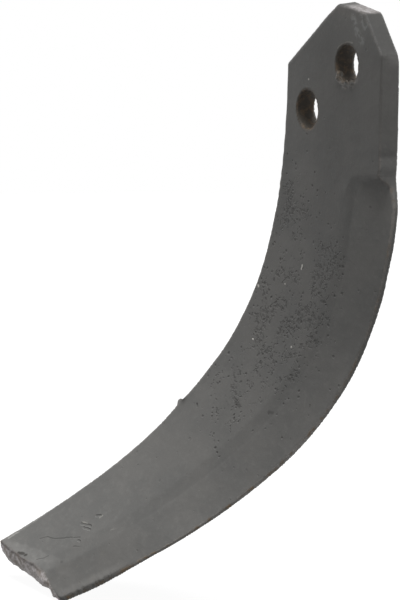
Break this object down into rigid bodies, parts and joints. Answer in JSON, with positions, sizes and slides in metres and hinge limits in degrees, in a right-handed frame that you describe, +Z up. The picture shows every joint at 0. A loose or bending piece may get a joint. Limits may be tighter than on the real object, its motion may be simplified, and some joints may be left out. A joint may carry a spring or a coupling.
{
  "type": "rotary tiller blade",
  "caption": "Flat steel tiller blade with bolt holes in its head, a rolled convex cutting edge below a shoulder, and a wing bent sideways to a sheared tip.",
  "frame": {"origin": "half way between the bolt holes, on the flat seat that lies against the rotor flange", "axes": "+Z up the shank towards the head's end, +Y out of the seat into the rotor flange, +X across the shank towards the cutting edge; the wing bends towards -Y"},
  "size_m": [0.1416, 0.0854, 0.2272],
  "materials": {
    "forged_steel": "dark scaled spring steel, as forged and hardened"
  },
  "bodies": {
    "root": {"blade": "forged_steel"}
  },
  "joints": []
}
